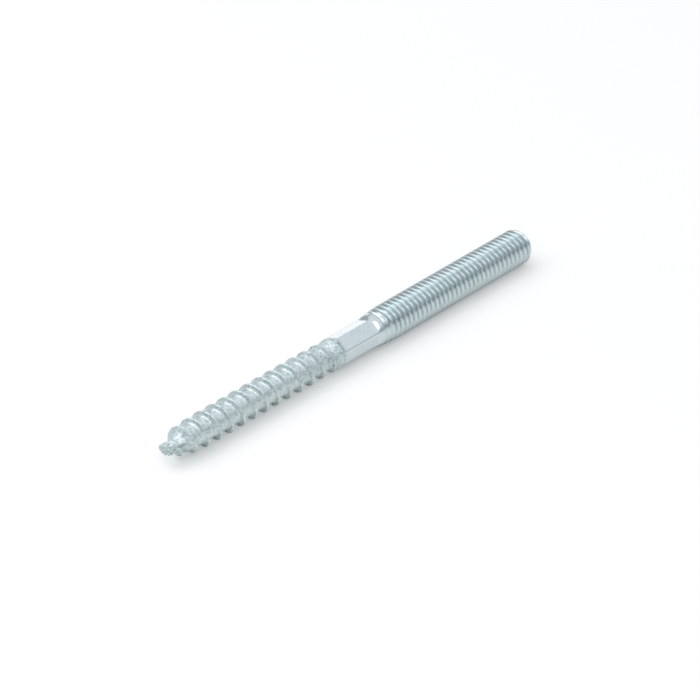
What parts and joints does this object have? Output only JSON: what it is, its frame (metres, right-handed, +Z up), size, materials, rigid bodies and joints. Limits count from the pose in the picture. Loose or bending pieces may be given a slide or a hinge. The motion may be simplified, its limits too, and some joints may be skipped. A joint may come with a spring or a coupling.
{
  "type": "hanger bolt",
  "caption": "Headless rod with a machine thread on one end, a coarse wood-screw thread with a point on the other, and a pressed hexagon between them for gripping.",
  "frame": {"origin": "on the bolt's axis, where the machine end begins next to the hexagon", "axes": "+X along the axis towards the machine end, -X towards the point; the bolt lies on its side with +Z up"},
  "size_m": [0.08, 0.0058, 0.0059],
  "materials": {
    "zinc_plated_steel": "bright blue-clear passivated zinc plating on rolled steel, slightly rough in the wood thread"
  },
  "bodies": {
    "root": {"hanger_bolt": "zinc_plated_steel"}
  },
  "joints": []
}
